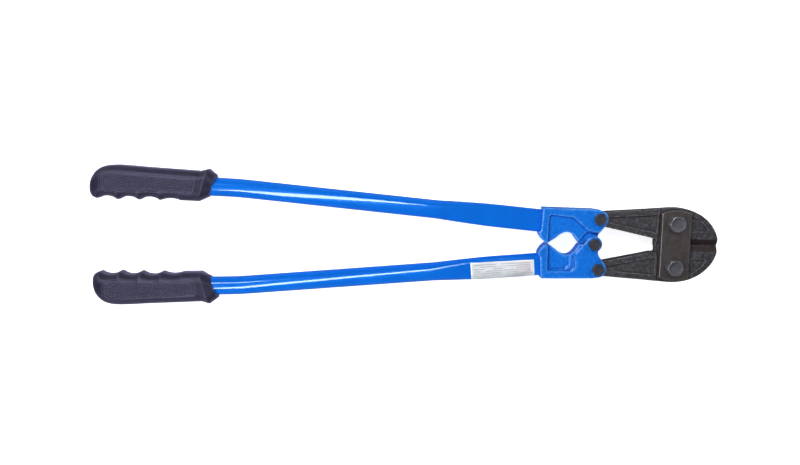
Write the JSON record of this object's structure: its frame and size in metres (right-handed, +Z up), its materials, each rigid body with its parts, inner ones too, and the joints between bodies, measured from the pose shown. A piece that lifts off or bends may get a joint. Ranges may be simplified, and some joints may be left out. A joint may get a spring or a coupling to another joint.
{
  "type": "bolt cutters",
  "caption": "Long-handled compound-lever bolt cutters with centre-cut jaws, strap plates, cast handle brackets, tubular handles and ribbed grips.",
  "frame": {"origin": "on the resting surface, under the middle of the closed tool's bounding box", "axes": "+X along the tool from the grips to the cutting jaws; +Y across the tool towards the upper handle; +Z up, out of the front faces, when the tool lies flat"},
  "size_m": [0.747, 0.1682, 0.0346],
  "materials": {
    "jaw_steel": "blackened forged steel, fine grain",
    "strap_steel": "oiled dark plate, worn edges",
    "strap_bolt_steel": "phosphated, satin",
    "pivot_bolt_steel": "black oxide, satin",
    "bracket_enamel": "gloss enamel on a cast surface",
    "tube_enamel": "smooth gloss enamel",
    "grip_rubber": "satin moulded rubber",
    "label_foil": "satin foil"
  },
  "bodies": {
    "link_plates": {"strap_front": "strap_steel", "strap_rear": "strap_steel", "strap_bolt_upper": "strap_bolt_steel", "strap_bolt_lower": "strap_bolt_steel", "strap_nut_upper": "strap_bolt_steel", "strap_nut_lower": "strap_bolt_steel"},
    "upper_jaw": {"jaw_upper": "jaw_steel"},
    "lower_jaw": {"jaw_lower": "jaw_steel"},
    "upper_handle": {"bracket_upper": "bracket_enamel", "tube_upper": "tube_enamel", "grip_upper": "grip_rubber", "retaining_pin_upper": "pivot_bolt_steel", "link_bolt_upper": "pivot_bolt_steel", "link_washer_upper": "pivot_bolt_steel", "link_nut_upper": "pivot_bolt_steel"},
    "lower_handle": {"bracket_lower": "bracket_enamel", "tube_lower": "tube_enamel", "grip_lower": "grip_rubber", "retaining_pin_lower": "pivot_bolt_steel", "link_bolt_lower": "pivot_bolt_steel", "link_washer_lower": "pivot_bolt_steel", "link_nut_lower": "pivot_bolt_steel", "centre_bolt": "pivot_bolt_steel", "centre_washer": "pivot_bolt_steel", "centre_nut": "pivot_bolt_steel", "label": "label_foil"}
  },
  "joints": [
    {"name": "upper_jaw_pivot", "type": "hinge", "parent": "link_plates", "child": "upper_jaw", "pos_m": [0.3212, 0.0262, 0.01655], "axis": [0, 0, 1], "range_deg": [0, 8.5]},
    {"name": "upper_handle_pivot", "type": "hinge", "parent": "upper_jaw", "child": "upper_handle", "pos_m": [0.2305, 0.0302, 0.01655], "axis": [0, 0, -1], "range_deg": [0, 58]},
    {"name": "lower_jaw_pivot", "type": "hinge", "parent": "link_plates", "child": "lower_jaw", "pos_m": [0.3212, -0.0262, 0.01655], "axis": [0, 0, -1], "range_deg": [0, 8.5]},
    {"name": "lower_handle_pivot", "type": "hinge", "parent": "lower_jaw", "child": "lower_handle", "pos_m": [0.2305, -0.0302, 0.01655], "axis": [0, 0, 1], "range_deg": [0, 58]}
  ],
  "couplings": [
    {"joint": "upper_jaw_pivot", "follows": "upper_handle_pivot", "ratio": 0.145},
    {"joint": "lower_jaw_pivot", "follows": "upper_handle_pivot", "ratio": 0.145},
    {"joint": "lower_handle_pivot", "follows": "upper_handle_pivot", "ratio": 1}
  ]
}
